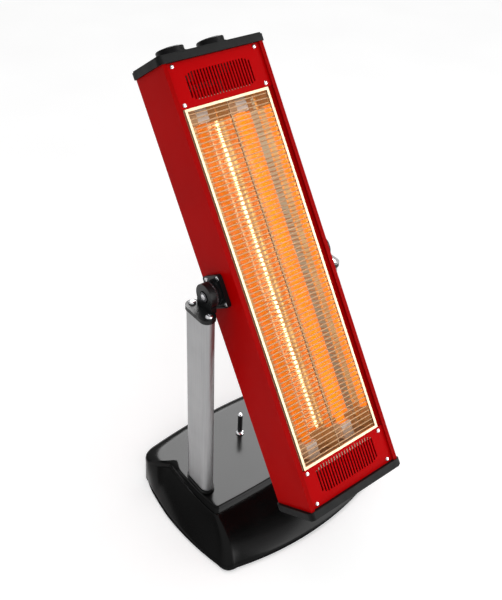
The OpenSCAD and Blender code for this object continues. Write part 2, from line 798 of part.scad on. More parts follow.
module base_shell() {
    color("#141414") difference() {
        union() {
            difference() {
                base_solid(0, 0, 0);
                base_solid(shell, shell, 1);
            }
            for (p = boss_pos) translate([p.x, p.y, plate_z])
                cylinder(r = 5, h = base_h - plate_z - shell + 0.5);
        }
        for (s = [-1, 1]) translate([s * post_x, post_y, base_h - shell - 1])
            linear_extrude(shell + 2) oval(post_a + 0.4, post_b + 0.4);
        for (p = boss_pos) translate([p.x, p.y, foot_h]) cylinder(r = 1.8, h = 24);
        translate([peg_pos.x, peg_pos.y, base_h - 10]) cylinder(r = 3.2, h = 20);
    }
}

plate_inset = shell + 4.2;

module base_plate() {
    color("#7a7c7e") difference() {
        translate([0, 0, foot_h]) linear_extrude(plate_z - foot_h)
            polygon(closed(base_level(1, plate_inset)));
        for (p = boss_pos) translate([p.x, p.y, 0]) cylinder(r = 2.2, h = 20);
        for (s = [-1, 1], t = [-1, 1]) translate([s * post_x, post_y + t * port_y, 0])
            cylinder(r = 2.3, h = 20);
        for (p = foot_pos) translate([p.x, p.y, 0]) cylinder(r = 2.6, h = 20);
    }
}

module ballast() {
    color("#4c4e50") translate([0, 26, plate_z]) linear_extrude(22) rounded(150, 112, 8);
}

module post_foot_screws() {
    color("silver") both_sides() for (t = [-1, 1])
        translate([post_x, post_y + t * port_y, foot_h - 0.05]) mirror([0, 0, 1])
            pan_screw(4, 9, 2.2, 26);
}

module base_screws() {
    color("silver") for (p = boss_pos) translate([p.x, p.y, foot_h - 0.05]) mirror([0, 0, 1])
        pan_screw(3.6, 7.5, 2.2, 18);
}

module rubber_feet() {
    color("#0c0c0c") for (p = foot_pos) translate([p.x, p.y, 0]) {
        cylinder(r = 9, h = foot_h);
        cylinder(r = 2.5, h = plate_z + 2);
        translate([0, 0, plate_z + 0.05]) cylinder(r = 4.2, h = 2);
    }
}

module stop_peg() {
    ring_h = 3;
    dome = peg_d / 2;
    color("#d8dade") translate([peg_pos.x, peg_pos.y, base_h]) {
        rotate_extrude() polygon(concat([[0, -14], [3, -14], [3, 0], [peg_d / 2 + 2.6, 0],
            [peg_d / 2 + 2.6, ring_h - 1], [peg_d / 2 + 1.6, ring_h], [peg_d / 2, ring_h + 0.5]],
            [for (a = [0:15:90]) [dome * cos(a), peg_h - dome + dome * sin(a)]]));
    }
}

module stop_peg_nut() {
    color("silver") translate([peg_pos.x, peg_pos.y, base_h - shell - 5.1]) difference() {
        cylinder(r = 5.8, h = 5, $fn = 6);
        translate([0, 0, -1]) cylinder(r = 3, h = 8);
    }
}

// ---- nodes ---------------------------------------------------------------------------

casing();
top_cap();
bottom_cap();
cap_screws();
top_vent_panel();
bottom_vent_panel();
panel_screws();
guard_frame();
guard_wires();
guard_stay();
reflector();
heat_shield();
quartz_tubes();
heating_coils();
lamp_holders();
upper_baffle();
lower_baffle();
terminal_block();
wiring_loom();
cable_gland();
gland_nut();
tilt_cutout();
power_switch();
thermostat();
switch_nuts();
power_shaft();
thermostat_shaft();
power_knob();
thermostat_knob();
pivot_plate_left();
pivot_plate_right();
plate_screws();
pivot_bolts();
pivot_nuts();
ratchet_rings();
yoke_left();
yoke_right();
yoke_screws();
post_left();
post_right();
post_collars();
base_shell();
base_plate();
ballast();
post_foot_screws();
base_screws();
rubber_feet();
stop_peg();
stop_peg_nut();
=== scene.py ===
import math

import bpy
from bpy.props import FloatProperty, FloatVectorProperty, PointerProperty
from mathutils import Matrix, Vector


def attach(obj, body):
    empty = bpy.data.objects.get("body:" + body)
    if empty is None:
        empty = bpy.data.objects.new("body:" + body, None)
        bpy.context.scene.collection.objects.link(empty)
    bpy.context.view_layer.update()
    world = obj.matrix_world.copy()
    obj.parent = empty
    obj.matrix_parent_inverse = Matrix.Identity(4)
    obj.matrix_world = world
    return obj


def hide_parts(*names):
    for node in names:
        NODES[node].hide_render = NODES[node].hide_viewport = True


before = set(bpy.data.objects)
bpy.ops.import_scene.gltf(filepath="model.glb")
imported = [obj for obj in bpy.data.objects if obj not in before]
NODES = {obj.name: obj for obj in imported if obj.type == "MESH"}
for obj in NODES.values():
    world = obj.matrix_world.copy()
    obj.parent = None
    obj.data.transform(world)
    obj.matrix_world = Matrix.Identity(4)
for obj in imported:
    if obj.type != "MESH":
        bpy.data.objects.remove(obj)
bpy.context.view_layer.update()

bl_info = {
    "name": "Patio Heater",
    "version": (1, 0, 0),
    "blender": (4, 5, 0),
    "location": "3D View > Sidebar > Heater",
    "description": "Finishes a free-standing infrared heater round its packed frame",
    "category": "Object",
}

MM = 0.001
# The head leans back from upright by this much, about the X axis
LEAN = math.radians(33.3)
# Middle of the pivot, which the head is drawn about
PIVOT = Vector((0.0, 0.0105, 0.410))
# Width across the two lamps over which their light grows from the left to the right
LAMP_SPAN = 40 * MM
# Place of the camera, and its heading, pitch and roll in degrees
CAMERA_PLACE = (-0.6071, -0.6947, 1.0630)
HEADING, PITCH, ROLL = -37.618, 57.296, 1.266


# ---- sizes and colours ---------------------------------------------------------------

def colour(name, description, value):
    return FloatVectorProperty(name=name, description=description, subtype="COLOR",
                               size=3, min=0.0, max=1.0, default=value)


def length(name, description, value):
    return FloatProperty(name=name, description=description, unit="LENGTH",
                         subtype="DISTANCE", min=0.0, default=value)


class HeaterSizes(bpy.types.PropertyGroup):
    coil_pitch: length("Coil pitch", "Distance from turn to turn of a heating coil", 2.6 * MM)
    coil_wire: length("Coil wire", "Thickness of the coil's wire", 1.2 * MM)
    coil_width: length("Coil width", "Outer width of a heating coil", 7.0 * MM)
    coil_lead: length("Coil lead", "Straight wire at each end of a coil", 22.0 * MM)
    lamp_back: FloatProperty(name="Lamp place", description="Lamps' place behind the pivot",
                             unit="LENGTH", subtype="DISTANCE", default=-13.0 * MM)
    edge_round: length("Base edge", "Radius of the base's rolled edges", 1.6 * MM)
    floor_side: length("Floor", "Side of the studio floor", 12.0)


class HeaterColours(bpy.types.PropertyGroup):
    enamel: colour("Enamel", "Powder coat of the casing", (0.37, 0.0002, 0.0004))
    vent: colour("Vent panels", "Powder coat of the vent panels", (0.50, 0.0004, 0.0016))
    cap: colour("End caps", "Moulded plastic of the end caps", (0.0042, 0.0045, 0.0045))
    knob: colour("Knobs", "Moulded plastic of the knobs", (0.0045, 0.0045, 0.005))
    post: colour("Posts", "Anodised aluminium of the posts", (0.35, 0.35, 0.355))
    base: colour("Base", "Polished plastic of the base", (0.0018, 0.0018, 0.0018))
    wire: colour("Guard wire", "Heat-stained wire of the guard", (0.42, 0.25, 0.13))
    guard: colour("Guard frame", "Plated frame of the guard", (0.60, 0.46, 0.31))
    reflector: colour("Reflector", "Polished sheet behind the lamps", (0.98, 0.81, 0.56))
    glow: colour("Glow", "Light of the heating coils", (1.0, 0.27, 0.002))


# ---- materials -----------------------------------------------------------------------

class Surface:
    """A node material on one Principled shader, with helpers for its detail."""

    def __init__(self, name, **sockets):
        self.material = bpy.data.materials.new(name)
        self.material.use_nodes = True
        self.tree = self.material.node_tree
        self.shader = self.tree.nodes["Principled BSDF"]
        for key, value in sockets.items():
            socket = self.shader.inputs[key.replace("_", " ").title().replace("Ior", "IOR")]
            socket.default_value = (*value, 1.0) if hasattr(value, "__len__") else value
        self.bump_end = None

    def add(self, kind, **settings):
        node = self.tree.nodes.new(kind)
        for key, value in settings.items():
            setattr(node, key, value)
        return node

    def join(self, source, target):
        self.tree.links.new(source, target)

    def place(self, stretch=(1.0, 1.0, 1.0), turn=0.0):
        """Coordinates in the frame's metres, turned about X and stretched."""
        coords = self.add("ShaderNodeTexCoord")
        mapping = self.add("ShaderNodeMapping", vector_type="POINT")
        mapping.inputs["Rotation"].default_value = (turn, 0.0, 0.0)
        mapping.inputs["Scale"].default_value = stretch
        self.join(coords.outputs["Object"], mapping.inputs["Vector"])
        return mapping.outputs["Vector"]

    def noise(self, scale, detail, stretch=(1.0, 1.0, 1.0), turn=0.0):
        node = self.add("ShaderNodeTexNoise")
        node.inputs["Scale"].default_value = scale
        node.inputs["Detail"].default_value = detail
        self.join(self.place(stretch, turn), node.inputs["Vector"])
        return node.outputs["Fac"]

    def cells(self, scale):
        node = self.add("ShaderNodeTexVoronoi")
        node.inputs["Scale"].default_value = scale
        self.join(self.place(), node.inputs["Vector"])
        return node.outputs["Distance"]

    def bands(self, scale, axis="Z", turn=0.0, distortion=0.0):
        node = self.add("ShaderNodeTexWave", bands_direction=axis)
        node.inputs["Scale"].default_value = scale
        node.inputs["Distortion"].default_value = distortion
        self.join(self.place(turn=turn), node.inputs["Vector"])
        return node.outputs["Fac"]

    def across(self, low, high, width):
        """A value that runs from low to high over that width from the left to the right."""
        split = self.add("ShaderNodeSeparateXYZ")
        self.join(self.place(), split.inputs["Vector"])
        return self.spread(split.outputs["X"], low, high, -width / 2, width / 2)

    def times(self, one, other):
        node = self.add("ShaderNodeMath", operation="MULTIPLY")
        self.join(one, node.inputs[0])
        self.join(other, node.inputs[1])
        return node.outputs[0]

    def spread(self, source, low, high, start=0.3, end=0.7):
        """A value that runs from low to high as source runs from start to end."""
        node = self.add("ShaderNodeMapRange")
        for key, value in zip(("From Min", "From Max", "To Min", "To Max"),
                              (start, end, low, high)):
            node.inputs[key].default_value = value
        self.join(source, node.inputs["Value"])
        return node.outputs["Result"]

    def tint(self, source, low, high, start=0.3, end=0.7):
        """Base colour between two colours, along source."""
        ramp = self.add("ShaderNodeValToRGB")
        stops = ramp.color_ramp.elements
        stops[0].position, stops[0].color = start, (*low, 1.0)
        stops[1].position, stops[1].color = end, (*high, 1.0)
        self.join(source, ramp.inputs["Fac"])
        self.join(ramp.outputs["Color"], self.shader.inputs["Base Color"])

    def rough(self, source, low, high):
        self.join(self.spread(source, low, high), self.shader.inputs["Roughness"])

    def bump(self, source, depth, strength):
        """Relief of that depth in metres; later calls lie on top of earlier ones."""
        node = self.add("ShaderNodeBump")
        node.inputs["Strength"].default_value = strength
        node.inputs["Distance"].default_value = depth
        self.join(source, node.inputs["Height"])
        if self.bump_end:
            self.join(self.bump_end, node.inputs["Normal"])
        self.bump_end = node.outputs["Normal"]
        self.join(self.bump_end, self.shader.inputs["Normal"])


def shade(rgb, factor):
    return tuple(min(1.0, c * factor) for c in rgb)


def enamel(name, rgb):
    """Powder coat: even colour, faint orange peel, a clear top coat."""
    s = Surface(name, specular_ior_level=0.015)
    s.tint(s.noise(14.0, 2.0), shade(rgb, 0.96), shade(rgb, 1.05))
    s.rough(s.noise(60.0, 4.0), 0.30, 0.40)
    s.bump(s.noise(900.0, 2.0), 0.03 * MM, 0.5)
    s.bump(s.noise(9.0, 1.0), 0.25 * MM, 0.2)
    return s.material


def moulded(name, rgb, roughness, grain):
    """Moulded plastic with a spark-eroded grain and rubbed patches."""
    s = Surface(name, specular_ior_level=0.13)
    s.tint(s.noise(35.0, 3.0), shade(rgb, 0.85), shade(rgb, 1.25))
    s.rough(s.noise(90.0, 4.0), roughness - 0.06, roughness + 0.08)
    s.bump(s.cells(grain), 0.05 * MM, 0.6)
    s.bump(s.noise(grain * 0.5, 3.0), 0.04 * MM, 0.5)
    return s.material


def brushed(name, rgb, roughness, stretch, metallic=1.0):
    """Metal with fine lines along one axis and a cloudy sheen."""
    s = Surface(name, metallic=metallic)
    lines = s.noise(700.0, 3.0, stretch)
    s.tint(lines, shade(rgb, 0.93), shade(rgb, 1.05))
    s.rough(s.noise(22.0, 3.0), roughness - 0.05, roughness + 0.06)
    s.bump(lines, 0.01 * MM, 0.5)
    return s.material


def cast(name, rgb, roughness, depth):
    """Painted casting with a sandy skin and lighter high spots."""
    s = Surface(name, specular_ior_level=0.2, coat_weight=0.05, coat_roughness=0.18)
    s.tint(s.noise(55.0, 5.0), shade(rgb, 0.7), shade(rgb, 1.6))
    s.rough(s.noise(120.0, 4.0), roughness - 0.08, roughness + 0.12)
    s.bump(s.noise(1100.0, 3.0), depth, 0.7)
    s.bump(s.cells(380.0), depth, 0.3)
    return s.material


def plated(name, rgb, roughness):
    """Plated steel with small blooms and hairline scratches."""
    s = Surface(name, metallic=1.0)
    s.tint(s.noise(260.0, 4.0), shade(rgb, 0.88), shade(rgb, 1.06))
    s.rough(s.noise(420.0, 3.0), roughness - 0.05, roughness + 0.1)
    s.bump(s.noise(1400.0, 2.0, (1.0, 6.0, 1.0)), 0.008 * MM, 0.5)
    return s.material


def piano_black(rgb):
    """Polished black plastic with dust-fine relief and swirl marks."""
    s = Surface("base_gloss", specular_ior_level=0.15)
    s.tint(s.noise(6.0, 3.0), shade(rgb, 0.8), shade(rgb, 1.4))
    s.rough(s.noise(11.0, 4.0), 0.16, 0.24)
    s.bump(s.noise(5.0, 2.0), 0.5 * MM, 0.15)
    s.bump(s.noise(1500.0, 2.0), 0.006 * MM, 0.3)
    return s.material


def mirror_sheet(rgb):
    """Polished reflector sheet with rolled lines along it and slight waves, and a faint warm
    painted glow that stands in for the lamps' light on it.
    """
    # Painted glow: a faint warm emission on the sheet, standing in for the lamps' light falling
    # on it
    s = Surface("reflector_polish_painted_glow", metallic=1.0, emission_color=(1.0, 0.42, 0.14),
                emission_strength=0.11)
    along = s.noise(160.0, 3.0, (1.0, 1.0, 0.06), LEAN)
    s.tint(along, shade(rgb, 0.95), shade(rgb, 1.02))
    s.rough(s.noise(30.0, 3.0, (1.0, 1.0, 0.3), LEAN), 0.04, 0.10)
    s.bump(along, 0.02 * MM, 0.5)
    s.bump(s.noise(16.0, 2.0, (1.0, 1.0, 0.5), LEAN), 0.4 * MM, 0.25)
    return s.material


def hot_quartz(glow):
    """Clear tube lit from inside: a thin skin with a warm light of its own."""
    s = Surface("quartz_glow", base_color=(0.8, 0.20, 0.01), roughness=0.06,
                ior=1.45, alpha=0.38, specular_ior_level=0.2)
    s.shader.inputs["Emission Color"].default_value = (*glow, 1.0)
    mottle = s.spread(s.noise(40.0, 2.0, (1.0, 1.0, 0.25), LEAN), 0.68, 0.98)
    s.join(s.times(mottle, s.across(0.45, 1.0, LAMP_SPAN)), s.shader.inputs["Emission Strength"])
    s.bump(s.noise(60.0, 2.0), 0.05 * MM, 0.3)
    return s.material


def hot_wire(glow):
    """Wound resistance wire at working heat, a little uneven along the coil."""
    s = Surface("coil_glow", base_color=(0.15, 0.05, 0.02), roughness=0.6)
    ramp = s.add("ShaderNodeValToRGB")
    cool, hot = ramp.color_ramp.elements
    cool.position, cool.color = 0.3, (*shade(glow, 0.8), 1.0)
    hot.position, hot.color = 0.75, (1.0, glow[1] * 1.25, glow[2] * 3.0, 1.0)
    s.join(s.noise(25.0, 2.0), ramp.inputs["Fac"])
    s.join(ramp.outputs["Color"], s.shader.inputs["Emission Color"])
    s.join(s.across(0.5, 1.3, LAMP_SPAN), s.shader.inputs["Emission Strength"])
    s.bump(s.noise(3000.0, 2.0), 0.02 * MM, 0.5)
    return s.material


def glazed(rgb):
    """Glazed ceramic with fine pits."""
    s = Surface("ceramic_glaze", coat_weight=0.4)
    s.tint(s.noise(80.0, 3.0), shade(rgb, 0.92), shade(rgb, 1.02))
    s.rough(s.noise(150.0, 3.0), 0.22, 0.34)
    s.bump(s.cells(500.0), 0.04 * MM, 0.5)
    return s.material


def braided(rgb):
    """Glass sleeve with a crossed weave."""
    s = Surface("sleeve_braid", roughness=0.85, sheen_weight=0.3)
    weave = s.bands(190.0, "Z", LEAN, 2.0)
    s.tint(weave, shade(rgb, 0.6), shade(rgb, 1.3), 0.2, 0.8)
    s.bump(weave, 0.3 * MM, 0.8)
    s.bump(s.bands(260.0, "DIAGONAL"), 0.2 * MM, 0.6)
    return s.material


def rubber():
    """Moulded rubber with a dry, dusty skin."""
    s = Surface("foot_rubber", specular_ior_level=0.3)
    s.tint(s.noise(120.0, 4.0), (0.012, 0.012, 0.012), (0.03, 0.029, 0.028))
    s.rough(s.noise(200.0, 3.0), 0.7, 0.9)
    s.bump(s.noise(1800.0, 2.0), 0.05 * MM, 0.7)
    return s.material


# ---- mesh helpers --------------------------------------------------------------------

def dress(node, material):
    """Gives a CAD node its finish."""
    mesh = NODES[node].data
    mesh.materials.clear()
    mesh.materials.append(material)


def make_piece(name, points, faces, material, body, sharp):
    """A new mesh piece that rides a body and takes its finish from a slot."""
    mesh = bpy.data.meshes.new(name)
    mesh.from_pydata([tuple(p) for p in points], [], faces)
    mesh.validate()
    mesh.polygons.foreach_set("use_smooth", [True] * len(mesh.polygons))
    mesh.set_sharp_from_angle(angle=math.radians(sharp))
    mesh.materials.append(material)
    piece = bpy.data.objects.new(name, mesh)
    bpy.context.scene.collection.objects.link(piece)
    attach(piece, body)
    return piece


def loft(rings):
    """Faces that join rings of equal length, first and last closed by one face each."""
    count = len(rings[0])
    faces = [(i * count + j, i * count + (j + 1) % count,
              (i + 1) * count + (j + 1) % count, (i + 1) * count + j)
             for i in range(len(rings) - 1) for j in range(count)]
    faces.append(tuple(range(count - 1, -1, -1)))
    last = (len(rings) - 1) * count
    faces.append(tuple(last + j for j in range(count)))
    return [p for ring in rings for p in ring], faces


def in_head(x, back, along):
    """A point given across, to the back and along the head, in the frame."""
    return PIVOT + Matrix.Rotation(-LEAN, 3, "X") @ Vector((x, back, along))


# ---- heating coils -------------------------------------------------------------------

def head_extent(node):
    """Half width, and lowest and highest place along the head, of a CAD node."""
    piece = NODES[node]
    upright = Matrix.Rotation(LEAN, 3, "X")
    corners = [upright @ (piece.matrix_world @ v.co - PIVOT) for v in piece.data.vertices]
    return (max(c.x for c in corners), min(c.z for c in corners), max(c.z for c in corners))


def coil_path(low, high, radius, pitch, lead):
    """Radius, angle and height along a wound wire with a straight lead at each end."""
    steps, ramp = 12, 6  # points in a turn, and in the wire's way out from the axis
    start, end = low + lead, high - lead
    turns = int((end - start) / pitch)
    path = [(0.0, 0.0, low), (0.0, 0.0, start - 2 * pitch)]
    path += [(radius * i / ramp, 0.0, start - pitch * (1 - i / ramp)) for i in range(1, ramp)]
    path += [(radius, 2 * math.pi * i / steps, start + (end - start) * i / (steps * turns))
             for i in range(steps * turns + 1)]
    path += [(radius * (1 - i / ramp), 0.0, end + pitch * i / ramp) for i in range(1, ramp)]
    path += [(0.0, 0.0, end + 2 * pitch), (0.0, 0.0, high)]
    return path


def wire_rings(path, x, back, wire):
    """Six-sided sections of a wire along a path round the axis at x and back."""
    rings = []
    for i, (radius, angle, height) in enumerate(path):
        out = Vector((math.cos(angle), math.sin(angle), 0.0))
        spots = [Vector((r * math.cos(a), r * math.sin(a), h))
                 for r, a, h in (path[max(i - 1, 0)], path[min(i + 1, len(path) - 1)])]
        along = (spots[1] - spots[0]).normalized()
        side = along.cross(out).normalized()
        centre = Vector((x, back, height)) + out * radius
        rings.append([in_head(*(centre + (out * math.cos(f) + side * math.sin(f)) * wire / 2))
                      for f in (math.radians(60 * k) for k in range(6))])
    return rings


# ---- the base's outline --------------------------------------------------------------

def stretch(a, b, out, count):
    """Points from a to b, b left out, that bulge by out to the left."""
    side = Vector((-(b - a).y, (b - a).x)).normalized()
    return [a + (b - a) * (i / count) + side * out * 4 * (i / count) * (1 - i / count)
            for i in range(count)]


def turn(a, corner, b, count):
    """A smooth quarter turn from a to b round a corner, b left out."""
    steps = [i / count for i in range(count)]
    return [a * (1 - t) ** 2 + corner * 2 * t * (1 - t) + b * t * t for t in steps]


# Millimetres, like the levels below: the shell's wall on the flank and under the top, the place
# along Y where the sides are widest, and the back's rolled edge: where it starts along Y, how
# much later it is full, and how far it reaches in from the edge and down
WALL, TOP_WALL = 3.4, 3.6
WIDEST_Y = 20.5
ROLL_START, ROLL_BLEND, ROLL_INSET, ROLL_DROP = 45, 35, 14, 9.4

# Each level of the base: front edge, half width at the front corner, at the posts, at the
# notch, the notch's place, the back corner's half width, the back edge, corner size, how far
# the front falls back to its corners, how far the sides bow out, height
BASE_LEVELS = {
    "floor": (-131, 152, 164.7, 160, 66, 152, 131, 20, 18, 3.7, 2.5),
    "rim": (-127, 151, 163, 158, 66, 152, 131, 19, 17, 3.7, 7.5),
    "waist": (-95.5, 136, 149.5, 147.5, 66, 152, 130, 13, 9, 3, 27.8),
    "shoulder": (-54, 126, 130, 128, 69, 152, 129, 6, 3, 1.5, 49),
    "top": (-47, 119, 124, 124, 66, 149, 126, 5, 3, 1.5, 58),
}


def base_ring(values, inset=0.0, lift=0.0):
    """One closed outline of the base, in metres, moved in by inset and up by lift (mm)."""
    front, corner, side, notch_x, notch_y, back_x, back, r, sweep, bow, height = values
    f, c, s, n = front + inset, corner - inset, side - inset, notch_x - inset
    b, k = back_x - inset, back - inset
    e = f + sweep
    v = Vector
    half = (stretch(v((-1, f)), v((-c + r, e)), sweep / 4, 12)
            + turn(v((-c + r, e)), v((-c, e)), v((-c - 0.5, e + r)), 12)
            + stretch(v((-c - 0.5, e + r)), v((-s, WIDEST_Y)), bow, 12)
            + stretch(v((-s, WIDEST_Y)), v((-n, notch_y)), 0.5, 8)
            + stretch(v((-n, notch_y)), v((-b, k - 32)), 1, 8)
            + turn(v((-b, k - 32)), v((-b, k - 12)), v((-b + 26, k - 9)), 14)
            + stretch(v((-b + 26, k - 9)), v((-1, k)), 2, 12))
    ring = half + [v((-p.x, p.y)) for p in reversed(half)]
    return [Vector((p.x * MM, p.y * MM, (height + lift) * MM)) for p in ring]


def between(a, b, t):
    """Level values part of the way from level a to level b."""
    return tuple(p + (q - p) * t for p, q in zip(BASE_LEVELS[a], BASE_LEVELS[b]))


def curved(t):
    """Level values on the smooth flank: the rim at 0, the waist at 1, the shoulder at 2."""
    rim, waist, shoulder = (BASE_LEVELS[k] for k in ("rim", "waist", "shoulder"))
    weights = ((t - 1) * (t - 2) / 2, t * (2 - t), t * (t - 1) / 2)
    return tuple(sum(w * q for w, q in zip(weights, column))
                 for column in zip(rim, waist, shoulder))


def rolled_back(rings):
    """The same rings with the step eased, towards the back, into one wide rolled edge."""
    eased = []
    for i, ring in enumerate(rings):
        a = math.radians(90) * max(i - 2, 0) / (len(rings) - 3)
        level = between("top", "shoulder", math.sin(a) ** 2)
        drop = ROLL_DROP * (1 - math.cos(a))
        wide = base_ring(level[:-1] + (BASE_LEVELS["top"][-1] - drop,),
                         0.1 + ROLL_INSET * (1 - math.sin(a)) + 2 * max(2 - i, 0))
        eased.append([])
        for sharp, soft in zip(ring, wide):
            t = min(max((sharp.y / MM - ROLL_START) / ROLL_BLEND, 0.0), 1.0)
            eased[-1].append(sharp.lerp(soft, t * t * (3 - 2 * t)))
    return eased


def base_rings(edge):
    """Rings of the shell from the middle of its top, down the outside and up the inside."""
    top, shoulder = BASE_LEVELS["top"], BASE_LEVELS["shoulder"]
    floor, rim = BASE_LEVELS["floor"], BASE_LEVELS["rim"]
    rolled = [(1 - math.sin(a), math.cos(a)) for a in (math.radians(d) for d in range(0, 91, 18))]
    rings = [base_ring(top, edge + ROLL_INSET), base_ring(top, edge + 3)]
    rings += [base_ring(top, inset * edge, (up - 1) * edge) for inset, up in rolled]
    rings += [base_ring(between("top", "shoulder", t), 0.4) for t in (0.35, 0.6, 0.8)]
    rings += [base_ring(shoulder, 2.4, 0.3), base_ring(shoulder, 1.2, 0.4),
              base_ring(shoulder, 0.5, 0.2), base_ring(shoulder, 0.1, -0.4)]
    rings = rolled_back(rings)
    rings += [base_ring(curved(2 - 0.125 * i)) for i in range(1, 16)]
    rings += [base_ring(curved(0.04)), base_ring(rim, 0.2), base_ring(rim, 1.1, -0.6),
              base_ring(rim, 0.3, -1.4), base_ring(floor, 0.0, 1.8), base_ring(floor, 0.5, 0.5),
              base_ring(floor, 1.4, 0.02), base_ring(floor, WALL, 0.02)]
    rings += [base_ring(rim, WALL), base_ring(curved(1), WALL), base_ring(curved(1.9), TOP_WALL),
              base_ring(top, TOP_WALL, -6), base_ring(top, 6, -3.2)]
    return rings


# ---- operators -----------------------------------------------------------------------

class HEATER_OT_stage(bpy.types.Operator):
    """Sets the camera, the pale floor and the soft lights"""
    bl_idname = "heater.stage"
    bl_label = "Studio"

    def execute(self, context):
        scene = context.scene
        camera = bpy.data.objects.new("camera", bpy.data.cameras.new("camera"))
        scene.collection.objects.link(camera)
        camera.matrix_world = (Matrix.Translation(CAMERA_PLACE)
                               @ Matrix.Rotation(math.radians(HEADING), 4, "Z")
                               @ Matrix.Rotation(math.radians(PITCH), 4, "X")
                               @ Matrix.Rotation(math.radians(ROLL), 4, "Z"))
        camera.data.lens = 49.41
        camera.data.sensor_width = 36.0
        camera.data.shift_x, camera.data.shift_y = 0.035, -0.108
        camera.data.clip_start, camera.data.clip_end = 0.05, 60.0
        scene.camera = camera
        scene.view_settings.view_transform = "Standard"

        self.make_floor(context)
        self.make_world(scene)
        key = self.lamp("key", (-1.1, -1.6, 2.2), (0.0, 0.0, 0.35), 1.6, 17.0)
        key.visible_glossy = False
        self.lamp("fill", (1.9, -1.3, 1.3), (0.0, 0.0, 0.35), 1.4, 8.0)
        card = self.lamp("card", (1.6, -1.9, 1.0), (0.0, 0.0, 0.4), 2.4, 70.0)
        sky_box = self.lamp("sky_box", (0.80, 0.89, 1.38), (0.0, 0.0, 0.06), 1.25, 62.0)
        for only_reflected in (card, sky_box):
            only_reflected.visible_diffuse = False
        return {"FINISHED"}

    def make_floor(self, context):
        side = context.scene.heater_sizes.floor_side / 2
        corners = [(-side, -side, 0), (side, -side, 0), (side, side, 0), (-side, side, 0)]
        mesh = bpy.data.meshes.new("floor")
        mesh.from_pydata(corners, [], [(0, 1, 2, 3)])
        floor = bpy.data.objects.new("floor", mesh)
        context.scene.collection.objects.link(floor)
        s = Surface("floor_paper", specular_ior_level=0.0)
        s.shader.inputs["Emission Color"].default_value = (1.0, 1.0, 1.0, 1.0)
        s.shader.inputs["Emission Strength"].default_value = 0.28
        s.tint(s.noise(3.0, 2.0), (0.90, 0.90, 0.90), (0.93, 0.93, 0.93))
        s.rough(s.noise(40.0, 2.0), 0.85, 0.95)
        mesh.materials.append(s.material)

    def make_world(self, scene):
        """A white backdrop, and light that grows from the horizon to overhead"""
        world = bpy.data.worlds.new("studio")
        scene.world = world
        world.use_nodes = True
        tree = world.node_tree
        background = tree.nodes["Background"]
        background.inputs["Color"].default_value = (1.0, 1.0, 1.0, 1.0)
        coords = tree.nodes.new("ShaderNodeTexCoord")
        split = tree.nodes.new("ShaderNodeSeparateXYZ")
        height = tree.nodes.new("ShaderNodeMapRange")
        for key, value in zip(("From Min", "From Max", "To Min", "To Max"),
                              (0.05, 0.75, 0.15, 0.85)):
            height.inputs[key].default_value = value
        tree.links.new(coords.outputs["Generated"], split.inputs["Vector"])
        tree.links.new(split.outputs["Z"], height.inputs["Value"])
        seen = tree.nodes.new("ShaderNodeLightPath")
        strength = tree.nodes.new("ShaderNodeMath")
        strength.operation = "MAXIMUM"
        tree.links.new(height.outputs["Result"], strength.inputs[0])
        tree.links.new(seen.outputs["Is Camera Ray"], strength.inputs[1])
        tree.links.new(strength.outputs[0], background.inputs["Strength"])

    def lamp(self, name, place, target, size, power):
        """A square light of that side in metres and power in watts, aimed at the target"""
        data = bpy.data.lights.new(name, "AREA")
        data.shape = "SQUARE"
        data.size = size
        data.energy = power
        light = bpy.data.objects.new(name, data)
        bpy.context.scene.collection.objects.link(light)
        light.location = place
        aim = Vector(target) - Vector(place)
        light.rotation_euler = aim.to_track_quat("-Z", "Y").to_euler()
        return light


class HEATER_OT_casing(bpy.types.Operator):
    """Powder coats the casing and its two vent panels"""
    bl_idname = "heater.casing"
    bl_label = "Casing"

    def execute(self, context):
        colours = context.scene.heater_colours
        dress("casing", enamel("enamel_red", colours.enamel))
        vents = enamel("enamel_vent", colours.vent)
        dress("top_vent_panel", vents)
        dress("bottom_vent_panel", vents)
        return {"FINISHED"}


class HEATER_OT_caps(bpy.types.Operator):
    """Finishes the end caps and the knobs"""
    bl_idname = "heater.caps"
    bl_label = "End caps and knobs"

    def execute(self, context):
        colours = context.scene.heater_colours
        grained = moulded("cap_grain", colours.cap, 0.48, 1300.0)
        dress("top_cap", grained)
        dress("bottom_cap", grained)
        satin = moulded("knob_satin", colours.knob, 0.36, 1700.0)
        dress("power_knob", satin)
        dress("thermostat_knob", satin)
        return {"FINISHED"}


class HEATER_OT_guard(bpy.types.Operator):
    """Plates the wire guard and its frame"""
    bl_idname = "heater.guard"
    bl_label = "Guard"

    def execute(self, context):
        colours = context.scene.heater_colours
        dress("guard_frame", plated("guard_plate", colours.guard, 0.42))
        wire = brushed("guard_wire_stain", colours.wire, 0.55, (0.05, 1.0, 1.0), metallic=0.6)
        dress("guard_wires", wire)
        dress("guard_stay", wire)
        return {"FINISHED"}


class HEATER_OT_reflector(bpy.types.Operator):
    """Polishes the reflector, gives it a faint painted glow and finishes the sheets behind it"""
    bl_idname = "heater.reflector"
    bl_label = "Reflector"

    def execute(self, context):
        dress("reflector", mirror_sheet(context.scene.heater_colours.reflector))
        sheet = brushed("baffle_sheet", (0.34, 0.24, 0.18), 0.5, (1.0, 0.1, 0.1))
        for node in ("heat_shield", "upper_baffle", "lower_baffle"):
            dress(node, sheet)
        return {"FINISHED"}


